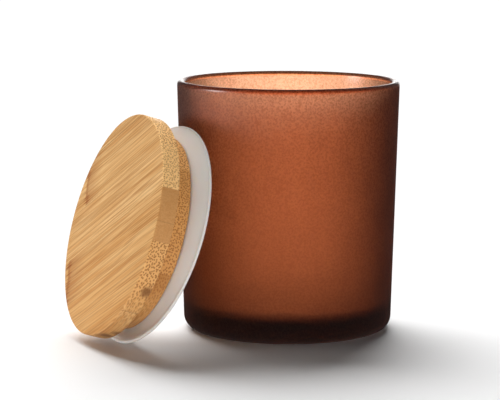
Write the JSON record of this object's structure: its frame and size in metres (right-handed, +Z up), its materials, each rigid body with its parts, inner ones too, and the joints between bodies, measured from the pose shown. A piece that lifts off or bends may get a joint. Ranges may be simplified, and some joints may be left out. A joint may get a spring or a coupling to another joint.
{
  "type": "empty candle jar",
  "caption": "Tapered frosted amber glass candle tumbler, empty, with a round bamboo lid and its clear silicone seal ring leaning against the side.",
  "frame": {"origin": "centre of the tumbler's flat foot, on the table", "axes": "+Z up out of the mouth; the lid leans on the -X side, its face turned a little towards -Y, the front"},
  "size_m": [0.1204, 0.1069, 0.09],
  "materials": {
    "amber_glass": "frosted amber-brown glass, clear at the lip",
    "bamboo": "sanded, unvarnished, open end grain",
    "silicone": "translucent white silicone, satin"
  },
  "bodies": {
    "jar": {"glass_jar": "amber_glass"},
    "lid": {"lid_top_stave_1": "bamboo", "lid_top_stave_2": "bamboo", "lid_top_stave_3": "bamboo", "lid_top_stave_4": "bamboo", "lid_top_stave_5": "bamboo", "lid_top_stave_6": "bamboo", "lid_plug_stave_1": "bamboo", "lid_plug_stave_2": "bamboo", "lid_plug_stave_3": "bamboo", "lid_plug_stave_4": "bamboo", "lid_plug_stave_5": "bamboo", "lid_keeper_stave_1": "bamboo", "lid_keeper_stave_2": "bamboo", "lid_keeper_stave_3": "bamboo", "lid_keeper_stave_4": "bamboo", "seal_ring": "silicone"}
  },
  "joints": [
    {"name": "lid_tip", "type": "hinge", "parent": "jar", "child": "lid", "pos_m": [-0.07307, -0.03571, 0], "axis": [0.4067, -0.9135, 0], "range_deg": [0, 107]}
  ]
}
